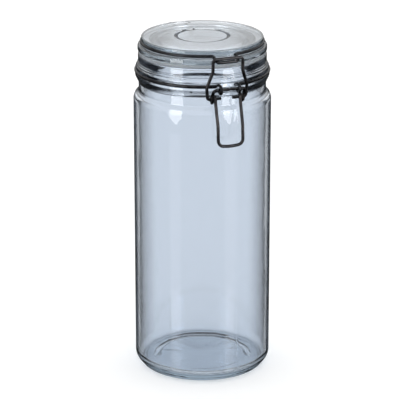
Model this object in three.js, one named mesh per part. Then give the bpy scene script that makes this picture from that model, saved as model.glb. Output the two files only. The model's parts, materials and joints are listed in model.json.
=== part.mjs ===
import * as THREE from "three";

// A lidded glass canister. Millimetres, +Z up, base on Z = 0, clip at -Y, hinge at +Y.

// Sizes that drive everything else
const HEIGHT = 272; // foot to the top of the lid
const BODY_R = 54; // outside of the jar body
const WALL = 3.7; // body wall
const BASE_T = 7; // glass under the hollow, at its rim
const WIRE_R = 1.25; // all four wires
const HANDLE_DROP = 44.3; // lever pivot down to the bottom of its loop
const HANDLE_W = 20; // lever loop, wire centre to wire centre
const BAIL_W = 24; // bail crossbar, corner to corner
const SEAL_T = 2.4; // seal ring

// Gaps
const FIT = 0.3; // wire to glass, and wire to the wire it turns on
const TOUCH = 0.15; // seal to glass

// Fineness
const ROUND = 60; // sides of turned pieces
const ARC_STEP = Math.PI / 30; // along the two rings
const BEND_STEP = Math.PI / 7; // round bends and curls
const WIRE_SIDES = 8;

// Lid levels, from the top down
const DISC_T = 2.8;
const FLANGE_T = 4.9;
const Z_DISC = HEIGHT - DISC_T;
const Z_LID_WIRE = Z_DISC - FIT - WIRE_R;
const Z_FLANGE_TOP = Z_LID_WIRE - WIRE_R - FIT;
const Z_FLANGE = Z_FLANGE_TOP - FLANGE_T;
const Z_SEAL = Z_FLANGE - TOUCH - SEAL_T;
const PLUG_DEPTH = 6.7;

// Jar levels, from the rim down
const Z_RIM = Z_SEAL - TOUCH;
const Z_NECK_WIRE = Z_RIM - 13.5;
const Z_NECK = Z_RIM - 29; // foot of the plain neck
const Z_SHOULDER = Z_RIM - 38.5;

// Radii, in from the body
const NECK_R = BODY_R - 4.1;
const RIM_R = BODY_R - 3.7;
const MOUTH_R = BODY_R - 10.4;
const NECK_INSIDE_R = BODY_R - 8;
const HOLLOW_R = BODY_R - WALL;
const NECK_GROOVE_R = BODY_R - 3.5;
const FLANGE_R = BODY_R - 3.5;
const DISC_R = BODY_R - 6.3;
const LID_GROOVE_R = BODY_R - 8;
const PLUG_R = MOUTH_R - 2.6;

// Wire rings
const NECK_RING_R = NECK_GROOVE_R + FIT + WIRE_R;
const LID_RING_R = LID_GROOVE_R + FIT + WIRE_R;
const CURL_R = 2 * WIRE_R + FIT; // centre line of a curl round another wire

// Axes of the clip and the hinge
const LEVER_Y = -(BODY_R + 6.2);
const LEVER_Z = Z_NECK_WIRE - 0.5;
const PIN_Y = -(NECK_R + CURL_R + WIRE_R);
const PIN_Z = Z_NECK_WIRE - 9;
const HINGE_Y = BODY_R + 5.5;
const HINGE_Z = Z_LID_WIRE - 3.2;

// Places of the wires across the front and back
const HOOK_X = HANDLE_W / 2 - 2 * WIRE_R - 0.1;
const COIL_X = HANDLE_W / 2 + 0.1; // lower end of each coil
const COIL_PITCH = 2 * WIRE_R + 0.1;
const PIN_TIP_X = HANDLE_W / 2 - 5.5;
const PIN_BEND_X = COIL_X + COIL_PITCH + 2 * WIRE_R + 0.3;
const FLARE_X = PIN_BEND_X + 0.8; // widest place of the bail
const BRIDGE_X = BAIL_W / 2 - 3;
const LEG_X = 10;
const EYE_X = 5;

// Glass clear of the moving wires at the front of the neck
const BEAD_R = NECK_R + 2.7;

const steel = (name) =>
  new THREE.MeshStandardMaterial({ name, color: 0x3a3a3c, roughness: 0.35, metalness: 1 });
const glass = (name) =>
  new THREE.MeshStandardMaterial({
    name,
    color: 0xcfdde2,
    roughness: 0.05,
    metalness: 0,
    transparent: true,
    opacity: 0.35,
  });
const silicone = new THREE.MeshStandardMaterial({
  name: "silicone",
  color: 0xd9dcda,
  roughness: 0.5,
  metalness: 0,
});

const canister = new THREE.Group();
canister.name = "lidded_glass_canister";

function add(name, geometry, material) {
  const mesh = new THREE.Mesh(geometry, material);
  mesh.name = name;
  canister.add(mesh);
}

// A turned piece from a profile of [radius, height], the solid on its left.
function turned(profile) {
  const points = profile.map(([r, z]) => new THREE.Vector2(r, z));
  return new THREE.LatheGeometry(points, ROUND).rotateX(Math.PI / 2);
}

// Points of a circular arc in a profile, both ends included.
function arc(r, z, radius, from, to, steps) {
  return Array.from({ length: steps + 1 }, (_, i) => {
    const a = from + ((to - from) * i) / steps;
    return [r + radius * Math.cos(a), z + radius * Math.sin(a)];
  });
}

// A path through given nodes, each of which becomes one station of the sweep.
class WirePath extends THREE.Curve {
  constructor(nodes) {
    super();
    this.nodes = nodes;
  }

  getPointAt(u, target = new THREE.Vector3()) {
    return target.copy(this.nodes[Math.round(u * (this.nodes.length - 1))]);
  }

  getTangentAt(u, target = new THREE.Vector3()) {
    const last = this.nodes.length - 1;
    const i = Math.round(u * last);
    const here = this.nodes[i];
    const ahead = this.nodes[Math.min(i + 1, last)].clone().sub(here).normalize();
    const behind = here.clone().sub(this.nodes[Math.max(i - 1, 0)]).normalize();
    return target.copy(ahead).add(behind).normalize();
  }
}

// Nodes of a bent wire. A point is [x, y, z] or [x, y, z, bend radius].
function bent(points) {
  const at = points.map(([x, y, z]) => new THREE.Vector3(x, y, z));
  return at.flatMap((corner, i) => {
    const radius = points[i][3];
    if (!radius) return [corner];
    const back = at[i - 1].clone().sub(corner).normalize();
    const on = at[i + 1].clone().sub(corner).normalize();
    const half = back.angleTo(on) / 2;
    const start = corner.clone().addScaledVector(back, radius / Math.tan(half));
    const middle = back.clone().add(on).normalize();
    const centre = corner.clone().addScaledVector(middle, radius / Math.sin(half));
    const out = start.sub(centre);
    const along = back.multiplyScalar(-radius);
    const sweep = Math.PI - 2 * half;
    const steps = Math.ceil(sweep / BEND_STEP);
    return Array.from({ length: steps + 1 }, (_, k) => {
      const a = (sweep * k) / steps;
      return centre
        .clone()
        .addScaledVector(out, Math.cos(a))
        .addScaledVector(along, Math.sin(a));
    });
  });
}

// A round wire along bent points.
function wire(points) {
  const nodes = bent(points);
  const section = new THREE.Shape();
  for (let i = 0; i < WIRE_SIDES; i++) {
    const a = (2 * Math.PI * i) / WIRE_SIDES;
    section[i ? "lineTo" : "moveTo"](WIRE_R * Math.cos(a), WIRE_R * Math.sin(a));
  }
  section.closePath();
  return new THREE.ExtrudeGeometry(section, {
    steps: nodes.length - 1,
    bevelEnabled: false,
    extrudePath: new WirePath(nodes),
  });
}

// Points along the +X side of a level ring, between two distances from the middle plane:
// xBack at the hinge and xFront at the clip.
function sideOfRing(radius, z, xBack, xFront) {
  const from = Math.PI / 2 - Math.asin(xBack / radius);
  const to = -Math.PI / 2 + Math.asin(xFront / radius);
  const inner = [];
  for (let k = Math.ceil(to / ARC_STEP); k * ARC_STEP < from; k++) inner.unshift(k * ARC_STEP);
  return inner
    .filter((a) => from - a > 0.6 * ARC_STEP && a - to > 0.6 * ARC_STEP)
    .map((a) => [radius * Math.cos(a), radius * Math.sin(a), z]);
}

// Points round an axis along X, by angles measured from +Y towards +Z, with x running evenly.
function curl(y, z, radius, fromDeg, toDeg, xFrom, xTo = xFrom) {
  const steps = Math.ceil(THREE.MathUtils.degToRad(Math.abs(toDeg - fromDeg)) / BEND_STEP);
  return Array.from({ length: steps + 1 }, (_, i) => {
    const share = i / steps;
    const a = THREE.MathUtils.degToRad(fromDeg + (toDeg - fromDeg) * share);
    return [
      xFrom + (xTo - xFrom) * share,
      y + radius * Math.cos(a),
      z + radius * Math.sin(a),
    ];
  });
}

// A wire given by its +X half, the middle plane last, mirrored into a whole.
function mirrored(half) {
  const other = half.map(([x, ...rest]) => [-x, ...rest]).reverse();
  return [...half, ...other];
}

// Jar: foot ring, heel, body, shoulder, neck with its two beads and groove, rim, then the inside.
const HEEL_R = 12;
const FLOOR_R = 8;
const PUSH_UP = 3;
const grooveHalf = WIRE_R + FIT;
add(
  "glass_jar",
  turned([
    [0, PUSH_UP],
    [BODY_R - 24, PUSH_UP - 0.6],
    [BODY_R - 17.5, 0.9],
    [BODY_R - 16, 0],
    ...arc(BODY_R - HEEL_R, HEEL_R, HEEL_R, -Math.PI / 2, 0, 6),
    [BODY_R, Z_SHOULDER],
    [BODY_R - 0.1, Z_SHOULDER + 2],
    [BODY_R - 0.5, Z_SHOULDER + 4],
    [BODY_R - 1.5, Z_SHOULDER + 5.8],
    [BODY_R - 2.8, Z_SHOULDER + 7.3],
    [NECK_R + 0.35, Z_NECK - 0.9],
    [NECK_R, Z_NECK],
    [NECK_R, Z_NECK_WIRE - 9.5],
    [NECK_R + 0.6, Z_NECK_WIRE - 7.5],
    [NECK_R + 1.5, Z_NECK_WIRE - 5.5],
    [BEAD_R - 0.2, Z_NECK_WIRE - 3.8],
    [BEAD_R, Z_NECK_WIRE - 2.7],
    [BEAD_R - 0.35, Z_NECK_WIRE - grooveHalf - 0.4],
    [BEAD_R - 1.1, Z_NECK_WIRE - grooveHalf],
    [NECK_GROOVE_R, Z_NECK_WIRE - grooveHalf + 0.3],
    [NECK_GROOVE_R, Z_NECK_WIRE + grooveHalf - 0.3],
    [NECK_GROOVE_R + 0.9, Z_NECK_WIRE + grooveHalf],
    [NECK_GROOVE_R + 1.5, Z_NECK_WIRE + 2.6],
    [NECK_GROOVE_R + 1.3, Z_NECK_WIRE + 3.8],
    [NECK_R + 1.3, Z_NECK_WIRE + 5],
    [NECK_R + 0.7, Z_NECK_WIRE + 6.4],
    [NECK_R - 0.3, Z_NECK_WIRE + 7.4],
    [RIM_R - 0.15, Z_NECK_WIRE + 7.9],
    [RIM_R, Z_NECK_WIRE + 8.6],
    [RIM_R, Z_RIM - 1.3],
    [RIM_R - 0.4, Z_RIM - 0.4],
    [RIM_R - 1.2, Z_RIM],
    [MOUTH_R + 0.9, Z_RIM],
    [MOUTH_R + 0.2, Z_RIM - 0.5],
    [MOUTH_R, Z_RIM - 1.3],
    [MOUTH_R, Z_NECK_WIRE + 5],
    [MOUTH_R + 0.6, Z_NECK_WIRE + 1.5],
    [NECK_INSIDE_R, Z_NECK_WIRE - 5],
    [NECK_INSIDE_R, Z_NECK],
    [NECK_INSIDE_R + 0.6, Z_SHOULDER + 5.5],
    [HOLLOW_R - 1.9, Z_SHOULDER],
    [HOLLOW_R - 0.4, Z_SHOULDER - 5],
    [HOLLOW_R, Z_SHOULDER - 9],
    ...arc(HOLLOW_R - FLOOR_R, BASE_T + FLOOR_R, FLOOR_R, 0, -Math.PI / 2, 5),
    [0, BASE_T - 0.2],
  ]),
  glass("jar_glass"),
);

// Lid: shallow hollow under the plug, plug, flange, groove for the wire, top disc, ring groove on it.
add(
  "glass_lid",
  turned([
    [0, Z_FLANGE - PLUG_DEPTH + 3],
    [PLUG_R - 9, Z_FLANGE - PLUG_DEPTH + 2.6],
    [PLUG_R - 6, Z_FLANGE - PLUG_DEPTH + 0.4],
    [PLUG_R - 4.5, Z_FLANGE - PLUG_DEPTH],
    [PLUG_R - 1.6, Z_FLANGE - PLUG_DEPTH],
    [PLUG_R - 0.5, Z_FLANGE - PLUG_DEPTH + 0.5],
    [PLUG_R, Z_FLANGE - PLUG_DEPTH + 1.8],
    [PLUG_R, Z_FLANGE],
    [FLANGE_R - 0.6, Z_FLANGE],
    [FLANGE_R, Z_FLANGE + 0.6],
    [FLANGE_R, Z_FLANGE_TOP - 1.6],
    [FLANGE_R - 0.5, Z_FLANGE_TOP - 0.5],
    [FLANGE_R - 1.6, Z_FLANGE_TOP],
    [LID_GROOVE_R + 0.5, Z_FLANGE_TOP],
    [LID_GROOVE_R, Z_FLANGE_TOP + 0.4],
    [LID_GROOVE_R, Z_DISC - 0.4],
    [LID_GROOVE_R + 0.4, Z_DISC],
    [DISC_R - 0.5, Z_DISC],
    [DISC_R, Z_DISC + 0.5],
    [DISC_R, HEIGHT - 1.3],
    [DISC_R - 0.4, HEIGHT - 0.4],
    [DISC_R - 1.3, HEIGHT],
    [BODY_R - 32.1, HEIGHT],
    [BODY_R - 32.8, HEIGHT - 1.2],
    [BODY_R - 33.8, HEIGHT - 1.2],
    [BODY_R - 34.8, HEIGHT - 0.5],
    [0, HEIGHT - 0.5],
  ]),
  glass("lid_glass"),
);

// Seal ring: between rim and flange, round the plug.
add(
  "seal_ring",
  turned([
    [PLUG_R + 0.6, Z_SEAL + 0.5],
    [PLUG_R + 1.1, Z_SEAL],
    [RIM_R - 1.2, Z_SEAL],
    [RIM_R - 0.7, Z_SEAL + 0.5],
    [RIM_R - 0.7, Z_SEAL + SEAL_T - 0.5],
    [RIM_R - 1.2, Z_SEAL + SEAL_T],
    [PLUG_R + 1.1, Z_SEAL + SEAL_T],
    [PLUG_R + 0.6, Z_SEAL + SEAL_T - 0.5],
    [PLUG_R + 0.6, Z_SEAL + 0.5],
  ]),
  silicone,
);

// Neck wire: a hook over the lever, round the groove, up to the hinge bar behind, and back.
const atRing = (radius, x) => Math.sqrt(radius * radius - x * x);
const hook = [
  ...curl(LEVER_Y, LEVER_Z, CURL_R, 340, 90, HOOK_X),
  [HOOK_X, LEVER_Y + CURL_R + 1, LEVER_Z + CURL_R, 3],
  [HOOK_X, -atRing(NECK_RING_R, HOOK_X), Z_NECK_WIRE, 2.2],
];
add(
  "neck_wire",
  wire(
    mirrored([
      ...hook,
      ...sideOfRing(NECK_RING_R, Z_NECK_WIRE, LEG_X, HOOK_X).reverse(),
      [LEG_X, atRing(NECK_RING_R, LEG_X), Z_NECK_WIRE, 2.5],
      [LEG_X, HINGE_Y - 4.5, Z_NECK_WIRE + 0.5, 3.5],
      [LEG_X, HINGE_Y, HINGE_Z, 3],
    ]),
  ),
  steel("neck_wire_steel"),
);

// Lid wire: an eye round the hinge bar, round the groove of the lid, out to the front bridge.
const BRIDGE_Y = -(FLANGE_R + 6);
const BRIDGE_Z = Z_LID_WIRE - 2.8;
add(
  "lid_wire",
  wire(
    mirrored([
      ...curl(HINGE_Y, HINGE_Z, CURL_R, -160, 90, EYE_X),
      [EYE_X, HINGE_Y - 2, HINGE_Z + CURL_R, 4],
      [EYE_X, atRing(LID_RING_R, EYE_X) + 4.5, Z_LID_WIRE, 3],
      [EYE_X, atRing(LID_RING_R, EYE_X), Z_LID_WIRE, 2.2],
      ...sideOfRing(LID_RING_R, Z_LID_WIRE, EYE_X, BRIDGE_X),
      [BRIDGE_X, -atRing(LID_RING_R, BRIDGE_X), Z_LID_WIRE, 2.5],
      [BRIDGE_X, -FLANGE_R - 0.5, Z_LID_WIRE, 3],
      [BRIDGE_X, BRIDGE_Y, BRIDGE_Z, 2.6],
    ]),
  ),
  steel("lid_wire_steel"),
);

// Bail: crossbar over the bridge, arms flaring round the lever, pins turned in through its coils.
const BAIL_TOP_Z = BRIDGE_Z + 2 * WIRE_R + 0.4;
add(
  "bail",
  wire(
    mirrored([
      [PIN_TIP_X, PIN_Y, PIN_Z],
      [PIN_BEND_X, PIN_Y, PIN_Z, 2],
      [FLARE_X, PIN_Y - 0.6, Z_NECK_WIRE + 0.3, 8],
      [BAIL_W / 2, BRIDGE_Y + 0.2, BAIL_TOP_Z - 10, 8],
      [BAIL_W / 2, BRIDGE_Y - 0.5, BAIL_TOP_Z, 2.4],
    ]),
  ),
  steel("bail_steel"),
);

// Lever: its two ends meet in the middle of the pivot bar; arms, coils for the pins, hanging loop.
const ARM_Y = PIN_Y - CURL_R;
const LOOP_Y = -(BODY_R + 9.4);
const LOOP_Z = LEVER_Z - HANDLE_DROP;
const coilTopX = COIL_X + COIL_PITCH;
add(
  "lever",
  wire(
    mirrored([
      [0.2, LEVER_Y, LEVER_Z],
      [coilTopX - 0.2, LEVER_Y, LEVER_Z, 2.6],
      [coilTopX, ARM_Y - 0.2, PIN_Z + 3.4, 2],
      ...curl(PIN_Y, PIN_Z, CURL_R, 180, 540, coilTopX, COIL_X),
      [COIL_X, ARM_Y - 0.5, PIN_Z - 3.5, 4],
      [HANDLE_W / 2, LOOP_Y + 1, Z_SHOULDER - 4, 8],
      [HANDLE_W / 2, LOOP_Y, LOOP_Z + 0.8, 4.5],
      [2, LOOP_Y, LOOP_Z],
    ]),
  ),
  steel("lever_steel"),
);

export default canister;
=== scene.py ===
import json
import math

import bmesh
import bpy
from mathutils import Matrix, Vector, noise


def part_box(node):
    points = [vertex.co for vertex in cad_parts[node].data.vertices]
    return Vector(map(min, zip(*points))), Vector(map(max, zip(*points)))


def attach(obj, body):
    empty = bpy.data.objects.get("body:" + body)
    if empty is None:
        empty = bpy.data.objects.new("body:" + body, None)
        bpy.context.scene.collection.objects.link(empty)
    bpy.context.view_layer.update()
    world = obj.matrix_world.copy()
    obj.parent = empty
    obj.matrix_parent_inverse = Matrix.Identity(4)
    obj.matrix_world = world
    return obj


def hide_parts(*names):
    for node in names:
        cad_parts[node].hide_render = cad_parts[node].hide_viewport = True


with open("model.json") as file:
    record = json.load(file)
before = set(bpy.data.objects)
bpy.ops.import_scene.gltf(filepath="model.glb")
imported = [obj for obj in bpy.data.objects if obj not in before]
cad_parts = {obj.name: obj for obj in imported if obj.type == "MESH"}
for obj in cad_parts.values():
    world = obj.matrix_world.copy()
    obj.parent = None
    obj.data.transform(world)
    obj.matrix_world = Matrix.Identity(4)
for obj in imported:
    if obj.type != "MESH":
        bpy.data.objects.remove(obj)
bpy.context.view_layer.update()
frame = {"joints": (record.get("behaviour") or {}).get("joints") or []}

MM = 0.001


# ---------------------------------------------------------------- sizes from the frame

def joint(name):
    """Place of a joint's axis, in millimetres."""
    found = next(j for j in frame["joints"] if j["name"] == name)
    return Vector(found["pos_m"]) / MM


def span(node):
    """Lowest and highest corner of a CAD node, in millimetres."""
    low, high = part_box(node)
    return low / MM, high / MM


_, jar_high = span("glass_jar")
lid_low, lid_high = span("glass_lid")
seal_low, seal_high = span("seal_ring")
lever_low, _ = span("lever")
_, lid_wire_high = span("lid_wire")
_, neck_wire_high = span("neck_wire")

FIT = 0.3  # wire to glass, and wire to the wire it turns on
TOUCH = 0.15  # seal to glass
WIRE_R = 1.25
DISC_T = 2.8  # disc of the lid, above the wire

BODY_R = jar_high.x
RIM_Z = jar_high.z
TOP_Z = lid_high.z
FLANGE_R = lid_high.x
PLUG_Z = lid_low.z
FLANGE_Z = seal_high.z + TOUCH

NECK_RING_R = neck_wire_high.x - WIRE_R
LID_RING_R = lid_wire_high.x - WIRE_R
HINGE = joint("lid_hinge")
LEVER = joint("lever_pivot")
PIN = joint("bail_pivot")
NECK_WIRE_Z = LEVER.z + 0.5
LID_WIRE_Z = TOP_Z - DISC_T - FIT - WIRE_R
SHOULDER_Z = RIM_Z - 38.5
CURL_R = 2 * WIRE_R + FIT  # centre line of a curl round another wire


# ---------------------------------------------------------------- profiles and turned glass

ARC_STEPS = 6
FLAT_SHARE = 0.12  # distance of the points beside a fillet, as a share of its radius
LONGEST = 6.0  # longest straight stretch of an outline
ON_AXIS = 1e-6


def rounded(corners):
    """A smooth outline through (r, z, fillet) corners: each fillet becomes an arc, with a point
    close by on either side to keep the shading of the flats true."""
    points = []
    for i, (r, z, fillet) in enumerate(corners):
        here = Vector((r, z))
        if not fillet:
            points.append(here)
            continue
        back = (Vector(corners[i - 1][:2]) - here).normalized()
        on = (Vector(corners[i + 1][:2]) - here).normalized()
        half = back.angle(on) / 2
        start = here + back * (fillet / math.tan(half))
        centre = here + (back + on).normalized() * (fillet / math.sin(half))
        sweep = math.pi - 2 * half
        out = start - centre
        along = -back * fillet
        points.append(start + back * FLAT_SHARE * fillet)
        for k in range(ARC_STEPS + 1):
            a = sweep * k / ARC_STEPS
            points.append(centre + out * math.cos(a) + along * math.sin(a))
        end = here + on * (fillet / math.tan(half))
        points.append(end + on * FLAT_SHARE * fillet)
    return points


def subdivided(points, longest=LONGEST):
    """The same outline with no straight stretch over the given length."""
    fine = [points[0]]
    for a, b in zip(points, points[1:]):
        parts = max(1, math.ceil((b - a).length / longest))
        fine += [a.lerp(b, k / parts) for k in range(1, parts + 1)]
    return fine


def turned(name, outline, segments, shift=None, closed=False):
    """A solid turned from (radius, height) points in millimetres. shift(r, z, angle) may return
    a small (dr, dz) for marks that aren't round."""
    mesh = bpy.data.meshes.new(name)
    bm = bmesh.new()
    rings = []
    for r, z in outline:
        if r < ON_AXIS:
            rings.append([bm.verts.new((0, 0, z * MM))])
            continue
        ring = []
        for k in range(segments):
            a = 2 * math.pi * k / segments
            dr, dz = shift(r, z, a) if shift else (0, 0)
            ring.append(bm.verts.new((
                (r + dr) * math.sin(a) * MM,
                -(r + dr) * math.cos(a) * MM,
                (z + dz) * MM,
            )))
        rings.append(ring)
    pairs = list(zip(rings, rings[1:]))
    if closed:
        pairs.append((rings[-1], rings[0]))
    for lower, upper in pairs:
        for k in range(segments):
            n = (k + 1) % segments
            corners = [lower[k % len(lower)], lower[n % len(lower)],
                       upper[n % len(upper)], upper[k % len(upper)]]
            bm.faces.new(list(dict.fromkeys(corners)))
    bm.normal_update()
    for face in bm.faces:
        face.smooth = True
    bm.to_mesh(mesh)
    bm.free()
    piece = bpy.data.objects.new(name, mesh)
    bpy.context.scene.collection.objects.link(piece)
    return piece


# ---------------------------------------------------------------- wires

WIRE_SIDES = 20
BEND_STEP = math.radians(9)
CURL_STEP = 10  # degrees
RING_STEPS = 90
CUT_CHAMFER = 0.28
CUT_R = 0.72 * WIRE_R  # face of a cut end


def bent(points):
    """Nodes of a bent wire through [x, y, z] or [x, y, z, bend radius] points."""
    at = [Vector(p[:3]) for p in points]
    nodes = []
    for i, point in enumerate(points):
        if len(point) < 4:
            nodes.append(at[i])
            continue
        radius = point[3]
        back = (at[i - 1] - at[i]).normalized()
        on = (at[i + 1] - at[i]).normalized()
        half = back.angle(on) / 2
        start = at[i] + back * (radius / math.tan(half))
        centre = at[i] + (back + on).normalized() * (radius / math.sin(half))
        sweep = math.pi - 2 * half
        steps = max(2, math.ceil(sweep / BEND_STEP))
        for k in range(steps + 1):
            a = sweep * k / steps
            nodes.append(centre + (start - centre) * math.cos(a) - back * radius * math.sin(a))
    return nodes


def curl(y, z, radius, start, end, x_start, x_end=None):
    """Points round an axis along X, by degrees from +Y towards +Z, with x running evenly."""
    x_end = x_start if x_end is None else x_end
    steps = math.ceil(abs(end - start) / CURL_STEP)
    points = []
    for k in range(steps + 1):
        share = k / steps
        a = math.radians(start + (end - start) * share)
        x = x_start + (x_end - x_start) * share
        points.append([x, y + radius * math.cos(a), z + radius * math.sin(a)])
    return points


def side_of_ring(radius, z, x_back, x_front):
    """Points along the +X side of a level ring, from the hinge side to the clip side, leaving
    room for a bend at both ends."""
    bend = 3.2 / radius
    start = math.pi / 2 - math.asin(x_back / radius) - bend
    end = -math.pi / 2 + math.asin(x_front / radius) + bend
    angles = [start + (end - start) * k / RING_STEPS for k in range(RING_STEPS + 1)]
    return [[radius * math.cos(a), radius * math.sin(a), z] for a in angles]


def at_ring(radius, x):
    return math.sqrt(radius * radius - x * x)


def mirrored(half):
    """A path given by its +X half, the middle plane last, and its other half."""
    return half + [[-p[0], *p[1:]] for p in reversed(half)]


def sections(path):
    """Centre, two directions across and radius of each section of a wire along a path, with a
    light chamfer at both cut ends."""
    last = len(path) - 1
    tangents = []
    for i in range(last + 1):
        ahead = path[min(i + 1, last)] - path[max(i - 1, 0)]
        tangents.append(ahead.normalized())
    across = tangents[0].orthogonal().normalized()
    found = []
    for i, (centre, tangent) in enumerate(zip(path, tangents)):
        if i:
            across = tangents[i - 1].rotation_difference(tangent) @ across
        across = (across - tangent * across.dot(tangent)).normalized()
        other = tangent.cross(across)
        if i == 0:
            found.append((centre, across, other, CUT_R))
            centre = centre + tangent * CUT_CHAMFER
        if i == last:
            centre = centre - tangent * CUT_CHAMFER
        found.append((centre, across, other, WIRE_R))
        if i == last:
            found.append((path[last], across, other, CUT_R))
    return found


def wire(name, points):
    """A round wire along bent points."""
    bm = bmesh.new()
    rings = []
    for centre, u, v, radius in sections(bent(points)):
        ring = []
        for k in range(WIRE_SIDES):
            a = 2 * math.pi * k / WIRE_SIDES
            corner = centre + (u * math.cos(a) + v * math.sin(a)) * radius
            ring.append(bm.verts.new(corner * MM))
        rings.append(ring)
    for lower, upper in zip(rings, rings[1:]):
        for k in range(WIRE_SIDES):
            n = (k + 1) % WIRE_SIDES
            bm.faces.new((lower[k], lower[n], upper[n], upper[k])).smooth = True
    bm.faces.new(list(reversed(rings[0])))
    bm.faces.new(rings[-1])
    for ring in (rings[0], rings[-1]):
        for k in range(WIRE_SIDES):
            edge = bm.edges.get((ring[k], ring[(k + 1) % WIRE_SIDES]))
            edge.smooth = False
    bm.normal_update()
    mesh = bpy.data.meshes.new(name)
    bm.to_mesh(mesh)
    bm.free()
    piece = bpy.data.objects.new(name, mesh)
    bpy.context.scene.collection.objects.link(piece)
    return piece


# ---------------------------------------------------------------- materials

def new_material(name):
    material = bpy.data.materials.new(name)
    material.use_nodes = True
    tree = material.node_tree
    return material, tree, tree.nodes["Principled BSDF"]


def node(tree, kind, **values):
    made = tree.nodes.new(kind)
    for key, value in values.items():
        setattr(made, key, value)
    return made


def set_inputs(target, **values):
    for key, value in values.items():
        target.inputs[key.replace("_", " ")].default_value = value


def surface_noise(tree, scale, detail, stretch=(1, 1, 1)):
    """Noise over the piece's own coordinates, in metres."""
    place = node(tree, "ShaderNodeTexCoord")
    mapping = node(tree, "ShaderNodeMapping")
    mapping.inputs["Scale"].default_value = stretch
    texture = node(tree, "ShaderNodeTexNoise")
    set_inputs(texture, Scale=scale, Detail=detail, Roughness=0.5)
    tree.links.new(place.outputs["Object"], mapping.inputs["Vector"])
    tree.links.new(mapping.outputs["Vector"], texture.inputs["Vector"])
    return texture.outputs["Fac"]


def ranged(tree, value, low, high):
    """A noise value carried into a range."""
    made = node(tree, "ShaderNodeMapRange")
    set_inputs(made, From_Min=0.3, From_Max=0.7, To_Min=low, To_Max=high)
    tree.links.new(value, made.inputs["Value"])
    return made.outputs["Result"]


def bumped(tree, principled, height, distance):
    bump = node(tree, "ShaderNodeBump")
    set_inputs(bump, Strength=1.0, Distance=distance)
    tree.links.new(height, bump.inputs["Height"])
    tree.links.new(bump.outputs["Normal"], principled.inputs["Normal"])


def math_node(tree, operation, *values):
    """A Math node fed by sockets or by plain numbers. Sums stop at 1."""
    made = node(tree, "ShaderNodeMath", operation=operation)
    made.use_clamp = operation == "ADD"
    for socket, value in zip(made.inputs, values):
        if isinstance(value, (int, float)):
            socket.default_value = value
        else:
            tree.links.new(value, socket)
    return made.outputs["Value"]


def eased(tree, value, start, end):
    """0 before start and 1 after end, with a soft passage."""
    made = node(tree, "ShaderNodeMapRange", interpolation_type="SMOOTHSTEP")
    set_inputs(made, From_Min=start, From_Max=end)
    tree.links.new(value, made.inputs["Value"])
    return made.outputs["Result"]


def separated(tree, vector):
    """X, Y and Z of a vector."""
    made = node(tree, "ShaderNodeSeparateXYZ")
    tree.links.new(vector, made.inputs["Vector"])
    return made.outputs


def colour_ramp(tree, value, stops):
    """A value turned into a colour through (position, colour) stops."""
    ramp = node(tree, "ShaderNodeValToRGB")
    elements = ramp.color_ramp.elements
    while len(elements) < len(stops):
        elements.new(0.5)
    for element, (position, colour) in zip(elements, stops):
        element.position = position
        element.color = colour
    tree.links.new(value, ramp.inputs["Fac"])
    return ramp.outputs["Color"]


JAR_TINT = (0.745, 0.788, 0.846, 1)
LID_TINT = (0.94, 0.95, 0.97, 1)
# painted shade: near black glass colour where glass is seen edge on, standing in for the dark
# surroundings seen in its edges
PAINTED_EDGE_SHADE = (0.01, 0.013, 0.018, 1)
SHADOW_TINT = (0.85, 0.87, 0.88, 1)
GLASS_DEPTH = (0.35, 0.5, 0.6, 1)
JAR_DENSITY = 12
LID_DENSITY = 10
HALF_SHADE_SHARE = 0.36  # share of the tint left at the middle stop of the painted edge shade
LEVEL_SHARE = 0.6  # how much less painted edge shade a level face gets than an upright one
# painted shade added on the sides of the thick neck
NECK_SHADE_EXTRA = 1.4
# painted shade added in the pressed ring on top of the lid
GROOVE_SHADE_EXTRA = 0.6
MATT_ROUGHNESS = 0.25
MATT_LEVEL = 0.3  # faces steeper than this stay polished


def groove_shade_mask(tree, spot, height, bottom, top, radius):
    """Painted shade mask: 1 between two heights and within a radius, 0 elsewhere."""
    flattened = node(tree, "ShaderNodeCombineXYZ")
    tree.links.new(spot["X"], flattened.inputs["X"])
    tree.links.new(spot["Y"], flattened.inputs["Y"])
    across = node(tree, "ShaderNodeVectorMath", operation="LENGTH")
    tree.links.new(flattened.outputs["Vector"], across.inputs[0])
    inside = math_node(tree, "LESS_THAN", across.outputs["Value"], radius * MM)
    over = math_node(tree, "GREATER_THAN", height, bottom)
    under = math_node(tree, "LESS_THAN", height, top)
    return math_node(tree, "MULTIPLY", math_node(tree, "MULTIPLY", over, under), inside)


def painted_shade_amount(tree, level, spot, height, thick, groove):
    """Amount of painted edge shade, from 0 to 1: how far a face is seen edge on, less for level
    faces, with more painted shade in the thick neck and in the pressed ring."""
    weight = node(tree, "ShaderNodeLayerWeight")
    weight.inputs["Blend"].default_value = 0.5
    upright = math_node(tree, "SUBTRACT", 1, math_node(tree, "MULTIPLY", level, LEVEL_SHARE))
    amount = math_node(tree, "MULTIPLY", weight.outputs["Facing"], upright)
    # painted shade added on the sides of the thick neck, between the given heights
    if thick:
        within = math_node(tree, "MULTIPLY", eased(tree, height, *thick), NECK_SHADE_EXTRA)
        extra = math_node(tree, "MULTIPLY", amount, within)
        amount = math_node(tree, "ADD", amount, extra)
    # painted shade added in the recess of the pressed ring
    if groove:
        ring = groove_shade_mask(tree, spot, height, *groove)
        extra = math_node(tree, "MULTIPLY", ring, GROOVE_SHADE_EXTRA)
        amount = math_node(tree, "ADD", amount, extra)
    return amount


def clear_to_shadows(tree, principled):
    """Light that passes straight through to what the glass would shade."""
    clear = node(tree, "ShaderNodeBsdfTransparent")
    clear.inputs["Color"].default_value = SHADOW_TINT
    ray = node(tree, "ShaderNodeLightPath")
    mix = node(tree, "ShaderNodeMixShader")
    tree.links.new(ray.outputs["Is Shadow Ray"], mix.inputs["Fac"])
    tree.links.new(principled.outputs["BSDF"], mix.inputs[1])
    tree.links.new(clear.outputs["BSDF"], mix.inputs[2])
    tree.links.new(mix.outputs["Shader"], tree.nodes["Material Output"].inputs["Surface"])


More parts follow.
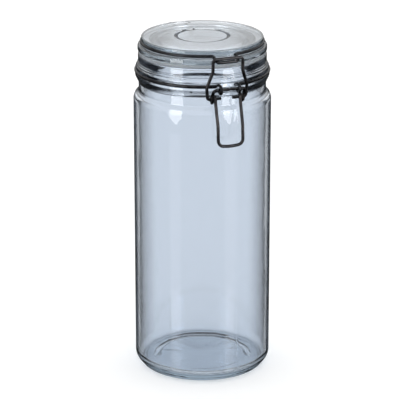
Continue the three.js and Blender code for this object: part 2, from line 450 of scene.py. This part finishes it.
def glass_material(name, tint, density, matt_below=None, thick=None, groove=None):
    """Clear pressed glass with a slight ripple. Painted shade darkens its colour where upright
    glass is seen edge on, sooner in the thick neck (thick: from, to), and in the pressed ring of a
    lid (groove: from, to, radius). Level faces below a given height have a matt pressed skin."""
    material, tree, principled = new_material(name)
    set_inputs(principled, IOR=1.52, Transmission_Weight=1.0, Roughness=0.0)
    place = node(tree, "ShaderNodeTexCoord")
    spot = separated(tree, place.outputs["Object"])
    lean = separated(tree, place.outputs["Normal"])
    height = math_node(tree, "DIVIDE", spot["Z"], MM)
    level = math_node(tree, "ABSOLUTE", lean["Z"])
    if matt_below:
        low = math_node(tree, "LESS_THAN", height, matt_below)
        flat = math_node(tree, "GREATER_THAN", level, MATT_LEVEL)
        skin = math_node(tree, "MULTIPLY", low, flat)
        matt = math_node(tree, "MULTIPLY", skin, MATT_ROUGHNESS)
        tree.links.new(matt, principled.inputs["Roughness"])
    half_shade_colour = [HALF_SHADE_SHARE * value for value in tint[:3]] + [1]
    amount = painted_shade_amount(tree, level, spot, height, thick, groove)
    # painted edge shade: the tint, then darker, then near black as faces turn edge on
    colour = colour_ramp(tree, amount, [(0.34, tint), (0.68, half_shade_colour), (0.76, PAINTED_EDGE_SHADE)])
    tree.links.new(colour, principled.inputs["Base Color"])
    bumped(tree, principled, surface_noise(tree, 90, 1.5, (1, 1, 0.6)), 0.00006)
    clear_to_shadows(tree, principled)
    volume = node(tree, "ShaderNodeVolumeAbsorption")
    set_inputs(volume, Color=GLASS_DEPTH, Density=density)
    tree.links.new(volume.outputs["Volume"], tree.nodes["Material Output"].inputs["Volume"])
    return material


def wire_material(name, warmth):
    """Dark drawn steel wire: blotchy oxide colour, uneven polish and fine scratches."""
    material, tree, principled = new_material(name)
    set_inputs(principled, Metallic=1.0)
    dark = (0.016, 0.017, 0.02, 1)
    pale = (0.05 * warmth, 0.05, 0.051, 1)
    colour = colour_ramp(tree, surface_noise(tree, 160, 4), [(0.35, dark), (0.7, pale)])
    tree.links.new(colour, principled.inputs["Base Color"])
    uneven = ranged(tree, surface_noise(tree, 420, 3), 0.22, 0.42)
    tree.links.new(uneven, principled.inputs["Roughness"])
    bumped(tree, principled, surface_noise(tree, 2600, 3), 0.00002)
    return material


def silicone_material(name):
    """Soft translucent silicone with a dusty bloom."""
    material, tree, principled = new_material(name)
    set_inputs(
        principled,
        Base_Color=(0.6, 0.63, 0.66, 1),
        Roughness=0.38,
        IOR=1.42,
        Transmission_Weight=0.75,
    )
    bumped(tree, principled, surface_noise(tree, 900, 4), 0.00004)
    return material


# ---------------------------------------------------------------- the glass jar

NECK_R = BODY_R - 4.1
NECK_INSIDE_R = BODY_R - 8
GROOVE_R = BODY_R - 3.5
BEAD_R = BODY_R - 1.9
STEP_R = BODY_R - 2.9
RIM_R = BODY_R - 3.7
MOUTH_R = BODY_R - 10.4

PUSH_UP_Z = 3.0
FLOOR_Z = 6.8
CENTRE_R = 20  # where the waves of the outer floor end
WALL_START_Z = 14

KNURLS = 200
KNURL_R = BODY_R - 7.1
KNURL_REACH = 1.6
KNURL_TOP_Z = 1.2
KNURL_DEPTH = 0.85
KNURL_WAVE = (0.0, 0.7, 1.0, 0.7)
JAR_SEGMENTS = len(KNURL_WAVE) * KNURLS

SEAM_ANGLE = math.radians(10.5)
SEAM_HALF = math.radians(0.5)
SEAM_RISE = 0.3
SEAM_START_R = BODY_R - 6
SEAM_FADE_Z = 8
SEAM_FADE = 30


def jar_outline():
    """Outside from the push-up to the rim, then the inside down to the floor."""
    foot = [
        (0, PUSH_UP_Z, 0),
        (BODY_R - 20, PUSH_UP_Z - 0.5, 5),
        (BODY_R - 14.5, 0.35, 0.8),
        (BODY_R - 9.4, 0, 1),
        (BODY_R - 8.4, 0.2, 0),
        (BODY_R - 7.7, 0.35, 0),
        (BODY_R - 7.0, 0.5, 0),
        (BODY_R - 6.3, 0.75, 0),
        (BODY_R - 5.7, 1.0, 0),
        (BODY_R - 4.7, 1.6, 1.2),
    ]
    body = [
        (BODY_R, 7.5, 8),
        (BODY_R, SHOULDER_Z + 2.8, 4),
        (BODY_R - 1.1, SHOULDER_Z + 5.8, 2),
        (NECK_R, SHOULDER_Z + 8.8, 2.8),
    ]
    neck = [
        (NECK_R, NECK_WIRE_Z - 9.2, 3),
        (BODY_R - 1.4, NECK_WIRE_Z - 3.4, 1.5),
        (BEAD_R, NECK_WIRE_Z - 1.65, 0.35),
        (GROOVE_R, NECK_WIRE_Z - 1.55, 0.4),
        (GROOVE_R, NECK_WIRE_Z + 1.55, 0.4),
        (BODY_R - 2.0, NECK_WIRE_Z + 1.6, 0.5),
        (BEAD_R, NECK_WIRE_Z + 3.6, 1.4),
        (STEP_R, NECK_WIRE_Z + 4.6, 0.3),
        (STEP_R, NECK_WIRE_Z + 5.5, 0.3),
        (BODY_R - 3.6, NECK_WIRE_Z + 5.9, 0.2),
        (BODY_R - 3.6, NECK_WIRE_Z + 6.8, 0.25),
        (BODY_R - 4.4, NECK_WIRE_Z + 7.1, 0.15),
        (BODY_R - 4.4, NECK_WIRE_Z + 7.9, 0.15),
        (RIM_R, NECK_WIRE_Z + 8.1, 0.25),
        (RIM_R, RIM_Z, 1.1),
    ]
    inside = [
        (MOUTH_R, RIM_Z, 1.1),
        (MOUTH_R, NECK_WIRE_Z + 4.5, 6),
        (NECK_INSIDE_R, NECK_WIRE_Z - 5, 8),
        (NECK_INSIDE_R, SHOULDER_Z + 7.2, 3.4),
        (BODY_R - 4.7, SHOULDER_Z + 4.1, 1.6),
        (BODY_R - 3.8, SHOULDER_Z + 1.4, 2.4),
        (BODY_R - 3.5, SHOULDER_Z - 60, 90),
        (BODY_R - 3.4, 11, 3),
        (BODY_R - 6.8, FLOOR_Z + 0.2, 3),
        (0, FLOOR_Z, 0),
    ]
    return subdivided(rounded(foot + body + neck + inside))


def seam(r, z, angle):
    """How far the mould seam stands out: fullest at the foot, fading up the wall."""
    off = min(abs(angle - SEAM_ANGLE), abs(angle - SEAM_ANGLE - math.pi))
    if off >= SEAM_HALF or z >= SHOULDER_Z or r <= SEAM_START_R:
        return 0
    return SEAM_RISE * max(0.2, 1 - max(0.0, z - SEAM_FADE_Z) / SEAM_FADE)


def waves(r, z, angle):
    """Unevenness of the inner wall, the floor and the outer part of the push-up."""
    if r > CENTRE_R:
        place = Vector((math.cos(angle) * 1.6, math.sin(angle) * 1.6, z / 60))
        ripple = 0.16 * noise.noise(place) + 0.05 * noise.noise(place * 3.1)
        return (ripple, 0) if z > WALL_START_Z else (0.6 * ripple, 2.5 * ripple)
    if z > PUSH_UP_Z:
        place = Vector((r * math.cos(angle) / 14, r * math.sin(angle) / 14, 0))
        return 0, 0.45 * noise.noise(place)
    return 0, 0


def jar_marks(r, z, angle):
    """Knurls round the foot, the mould seam up both sides, and the unevenness inside."""
    into_knurls = KNURL_REACH - abs(r - KNURL_R)
    if into_knurls > 0 and z < KNURL_TOP_Z:
        k = round(angle / (2 * math.pi) * JAR_SEGMENTS)
        wave = KNURL_WAVE[k % len(KNURL_WAVE)]
        return 0, KNURL_DEPTH * wave * min(1.0, into_knurls)
    if r > BODY_R - 3 or z < 2.5:
        return seam(r, z, angle), 0
    return waves(r, z, angle)


def make_jar():
    piece = turned("jar_glass_body", jar_outline(), JAR_SEGMENTS, jar_marks)
    # heights of the band of painted shade on the sides of the thick neck
    neck = (NECK_WIRE_Z - 10, NECK_WIRE_Z - 5)
    material = glass_material("jar_glass", JAR_TINT, JAR_DENSITY, thick=neck)
    piece.data.materials.append(material)
    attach(piece, "jar")
    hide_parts("glass_jar")


# ---------------------------------------------------------------- the glass lid and its seal

DISC_R = BODY_R - 6.3
LID_GROOVE_R = BODY_R - 8
FLANGE_T = 4.9
PLUG_R = BODY_R - 13
LID_SEGMENTS = 288
SEAL_SEGMENTS = 240
SEAL_FILLET = 0.7


def lid_outline():
    """Hollow under the plug, plug, flange, groove for the wire, disc, and the pressed ring on
    top."""
    corners = [
        (0, PLUG_Z + 3.0, 0),
        (PLUG_R - 8, PLUG_Z + 2.6, 3),
        (PLUG_R - 5, PLUG_Z, 1.2),
        (PLUG_R, PLUG_Z, 1.6),
        (PLUG_R, FLANGE_Z, 0.5),
        (FLANGE_R, FLANGE_Z, 0.7),
        (FLANGE_R, FLANGE_Z + FLANGE_T, 2.2),
        (LID_GROOVE_R, FLANGE_Z + FLANGE_T, 0.5),
        (LID_GROOVE_R, TOP_Z - DISC_T, 0.5),
        (DISC_R, TOP_Z - DISC_T, 0.6),
        (DISC_R, TOP_Z, 1.25),
        (BODY_R - 32.0, TOP_Z, 0.3),
        (BODY_R - 32.7, TOP_Z - 1.5, 0.5),
        (BODY_R - 33.9, TOP_Z - 1.5, 0.4),
        (BODY_R - 34.9, TOP_Z - 0.5, 0.3),
        (0, TOP_Z - 0.5, 0),
    ]
    return subdivided(rounded(corners))


def lid_marks(r, z, angle):
    """The slight unevenness of a pressed surface, only downwards on the top."""
    fade = min(1.0, (BODY_R - 9 - r) / 8)
    if fade <= 0:
        return 0, 0
    place = Vector((r * math.cos(angle) / 22, r * math.sin(angle) / 22, z / 10))
    swell = noise.noise(place)
    return 0, fade * (0.05 * (swell - 1) if z > TOP_Z - 2 else 0.12 * swell)


def make_lid():
    piece = turned("lid_glass_disc", lid_outline(), LID_SEGMENTS, lid_marks)
    under = FLANGE_Z - 0.2
    # heights and radius of the painted shade in the pressed ring on top
    ring = (TOP_Z - 2, TOP_Z - 0.65, BODY_R - 30)
    material = glass_material("lid_glass", LID_TINT, LID_DENSITY, matt_below=under, groove=ring)
    piece.data.materials.append(material)
    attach(piece, "lid")
    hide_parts("glass_lid")


def make_seal():
    low, high = seal_low.z, seal_high.z
    inner, outer = BODY_R - 12.4, seal_high.x
    start = ((inner + outer) / 2, low, 0)
    corners = [(outer, low), (outer, high), (inner, high), (inner, low)]
    filleted = [(r, z, SEAL_FILLET) for r, z in corners]
    outline = subdivided(rounded([start, *filleted, start]), 2.5)[:-1]
    piece = turned("seal_silicone_ring", outline, SEAL_SEGMENTS, closed=True)
    piece.data.materials.append(silicone_material("seal_silicone"))
    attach(piece, "lid")
    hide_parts("seal_ring")


# ---------------------------------------------------------------- the four wires

HANDLE_HALF = 10  # half the width of the lever's loop
COIL_X = HANDLE_HALF + 0.1  # lower end of each coil
COIL_PITCH = 2 * WIRE_R + 0.1
PIN_BEND_X = COIL_X + COIL_PITCH + 2 * WIRE_R + FIT
PIN_TIP_X = 4.5
HOOK_X = HANDLE_HALF - 2 * WIRE_R - 0.1
LEG_X = 10  # rear legs of the neck wire
EYE_X = 5
EYE_R = CURL_R - 0.06
BAIL_HALF = 12  # half the width of the bail's crossbar
BRIDGE_X = BAIL_HALF - 3
BRIDGE_Y = -(FLANGE_R + 6)
BRIDGE_Z = LID_WIRE_Z - 2.8
BAIL_TOP_Z = BRIDGE_Z + 2 * WIRE_R + 0.4


def neck_wire_path():
    """Hook over the lever, round the groove, up to the hinge bar."""
    return mirrored([
        *curl(LEVER.y, LEVER.z, CURL_R, 340, 90, HOOK_X),
        [HOOK_X, LEVER.y + CURL_R + 1, LEVER.z + CURL_R, 3],
        [HOOK_X, -at_ring(NECK_RING_R, HOOK_X), NECK_WIRE_Z, 2.2],
        *reversed(side_of_ring(NECK_RING_R, NECK_WIRE_Z, LEG_X, HOOK_X)),
        [LEG_X, at_ring(NECK_RING_R, LEG_X), NECK_WIRE_Z, 2.5],
        [LEG_X, HINGE.y - 4.5, NECK_WIRE_Z + 0.5, 3.5],
        [LEG_X, HINGE.y, HINGE.z, 3],
    ])


def lid_wire_path():
    """Eye round the hinge bar, round the groove of the lid, out to the front bridge."""
    return mirrored([
        *curl(HINGE.y, HINGE.z, EYE_R, -160, 90, EYE_X),
        [EYE_X, HINGE.y - 2, HINGE.z + EYE_R, 4],
        [EYE_X, at_ring(LID_RING_R, EYE_X) + 4.5, LID_WIRE_Z, 3],
        [EYE_X, at_ring(LID_RING_R, EYE_X), LID_WIRE_Z, 2.2],
        *side_of_ring(LID_RING_R, LID_WIRE_Z, EYE_X, BRIDGE_X),
        [BRIDGE_X, -at_ring(LID_RING_R, BRIDGE_X), LID_WIRE_Z, 2.5],
        [BRIDGE_X, -FLANGE_R - 0.5, LID_WIRE_Z, 3],
        [BRIDGE_X, BRIDGE_Y, BRIDGE_Z, 2.6],
    ])


def bail_path():
    """Pin in a coil of the lever, arm flaring round it, crossbar over the bridge."""
    return mirrored([
        [PIN_TIP_X, PIN.y, PIN.z],
        [PIN_BEND_X, PIN.y, PIN.z, 2],
        [PIN_BEND_X + 0.8, PIN.y - 0.6, NECK_WIRE_Z + 0.3, 8],
        [BAIL_HALF, BRIDGE_Y + 0.2, BAIL_TOP_Z - 10, 8],
        [BAIL_HALF, BRIDGE_Y - 0.5, BAIL_TOP_Z, 2.4],
    ])


def lever_path():
    """Half of the pivot bar, an arm down to its coil, the coil, and half of the hanging loop."""
    arm_x = COIL_X + COIL_PITCH
    arm_y = PIN.y - CURL_R
    loop_y = lever_low.y + WIRE_R
    loop_z = lever_low.z + WIRE_R
    return mirrored([
        [0.2, LEVER.y, LEVER.z],
        [arm_x - 0.2, LEVER.y, LEVER.z, 2.6],
        [arm_x, arm_y - 0.2, PIN.z + 3.4, 2],
        *curl(PIN.y, PIN.z, CURL_R, 180, 540, arm_x, COIL_X),
        [COIL_X, arm_y - 0.5, PIN.z - 3.5, 4],
        [HANDLE_HALF, loop_y + 1, SHOULDER_Z - 4, 8],
        [HANDLE_HALF, loop_y, loop_z + 0.8, 4.5],
        [2, loop_y, loop_z],
    ])


# piece, path, body, CAD node, slot, warmth of the steel
WIRES = [
    ("neck_wire_ring", neck_wire_path, "jar", "neck_wire", "neck_wire_steel", 1.0),
    ("lid_wire_ring", lid_wire_path, "lid", "lid_wire", "lid_wire_steel", 1.0),
    ("bail_stirrup", bail_path, "bail", "bail", "bail_steel", 1.05),
    ("lever_handle", lever_path, "lever", "lever", "lever_steel", 1.1),
]


def make_wires():
    for name, path, body, stands_for, slot, warmth in WIRES:
        piece = wire(name, path())
        piece.data.materials.append(wire_material(slot, warmth))
        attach(piece, body)
        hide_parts(stands_for)


# ---------------------------------------------------------------- studio

CAMERA_TURN = math.radians(-20)
CAMERA_RISE = math.radians(18.96)
CAMERA_REACH = 1.7843
CAMERA_AIM = 0.1363
CAMERA_LEFT = 0.0018  # the camera stands and aims this far left of the jar's axis
CAMERA_LENS = 201.4

WHITE = (1, 1, 1, 1)
FLOOR_R = 2.5
FILL = 1.11
# brightness by height above the horizon: what the glass mirrors, and what is seen through it
GLOSSY_SKY = [(0.0, 0.04), (0.2, 1.1)]
THROUGH_SKY = [(0.0, 0.05), (0.25, 0.95)]

LAMP_REACH = 1.0
LAMP_SIDES = {"left": -45, "right": 47}  # degrees from the camera
# panel, width, height, power, height of its middle: mirrored rays see the lower two through the
# floor
LAMP_PANELS = [
    ("softbox", 0.42, 1.0, 6.5, 0.425),
    ("middle", 0.34, 0.2, 0.12, -0.19),
    ("glow", 0.3, 0.5, 0.5, -0.53),
]


def seen_from(turn, rise, reach, height):
    """A place round the jar: turn is counted from the clip's side towards +X."""
    return Vector((
        reach * math.cos(rise) * math.sin(turn),
        -reach * math.cos(rise) * math.cos(turn),
        height + reach * math.sin(rise),
    ))


def aimed(place, target):
    """The matrix of something at a place that looks at a target."""
    turned_to = (place - target).to_track_quat("Z", "Y").to_matrix().to_4x4()
    return Matrix.Translation(place) @ turned_to


def make_camera():
    data = bpy.data.cameras.new("camera")
    data.lens = CAMERA_LENS
    data.sensor_width = 36
    data.clip_end = 50
    camera = bpy.data.objects.new("camera", data)
    right = Vector((math.cos(CAMERA_TURN), math.sin(CAMERA_TURN), 0))
    target = Vector((0, 0, CAMERA_AIM)) - right * CAMERA_LEFT
    place = seen_from(CAMERA_TURN, CAMERA_RISE, CAMERA_REACH, CAMERA_AIM) - right * CAMERA_LEFT
    camera.matrix_world = aimed(place, target)
    bpy.context.scene.collection.objects.link(camera)
    bpy.context.scene.camera = camera


def make_floor():
    bpy.ops.mesh.primitive_circle_add(vertices=96, radius=FLOOR_R, fill_type="NGON")
    floor = bpy.context.object
    floor.name = "floor"
    material, _, principled = new_material("floor_white")
    set_inputs(
        principled,
        Base_Color=(0.9, 0.9, 0.9, 1),
        Roughness=0.9,
        Emission_Color=WHITE,
        Emission_Strength=0.14,
    )
    floor.data.materials.append(material)
    floor.visible_glossy = False


def make_lamp(name, turn, width, height, power, level):
    """A panel that glass and wire mirror, and that leaves matt surfaces alone."""
    data = bpy.data.lights.new(name, "AREA")
    data.shape = "RECTANGLE"
    data.size = width
    data.size_y = height
    data.energy = power
    lamp = bpy.data.objects.new(name, data)
    place = seen_from(CAMERA_TURN + math.radians(turn), 0, LAMP_REACH, level)
    lamp.matrix_world = aimed(place, Vector((0, 0, level)))
    lamp.visible_diffuse = False
    bpy.context.scene.collection.objects.link(lamp)


def make_lamps():
    for side, turn in LAMP_SIDES.items():
        for panel, *values in LAMP_PANELS:
            make_lamp(panel + "_" + side, turn, *values)


def background(tree, colour, strength=1.0):
    """A plain background, or one whose colour comes from a socket."""
    made = node(tree, "ShaderNodeBackground")
    made.inputs["Strength"].default_value = strength
    if isinstance(colour, tuple):
        made.inputs["Color"].default_value = colour
    else:
        tree.links.new(colour, made.inputs["Color"])
    return made


def make_world():
    """A sky that is white to the camera, even over the floor, and dark near the horizon in what
    the glass mirrors and lets through, which draws its edges."""
    world = bpy.data.worlds.new("studio")
    world.use_nodes = True
    tree = world.node_tree
    place = node(tree, "ShaderNodeTexCoord")
    height = separated(tree, place.outputs["Generated"])["Z"]
    ray = node(tree, "ShaderNodeLightPath")

    def sky(stops):
        greys = [(position, (level, level, level, 1)) for position, level in stops]
        return background(tree, colour_ramp(tree, height, greys))

    def chosen(kind, other, this):
        mix = node(tree, "ShaderNodeMixShader")
        tree.links.new(ray.outputs[kind], mix.inputs["Fac"])
        tree.links.new(other.outputs[0], mix.inputs[1])
        tree.links.new(this.outputs[0], mix.inputs[2])
        return mix

    look = chosen("Is Transmission Ray", sky(GLOSSY_SKY), sky(THROUGH_SKY))
    look = chosen("Is Diffuse Ray", look, background(tree, WHITE, FILL))
    look = chosen("Is Camera Ray", look, background(tree, WHITE))
    tree.links.new(look.outputs["Shader"], tree.nodes["World Output"].inputs["Surface"])
    bpy.context.scene.world = world


make_camera()
make_jar()
make_lid()
make_seal()
make_wires()
make_floor()
make_lamps()
make_world()
bpy.context.scene.view_settings.view_transform = "Standard"
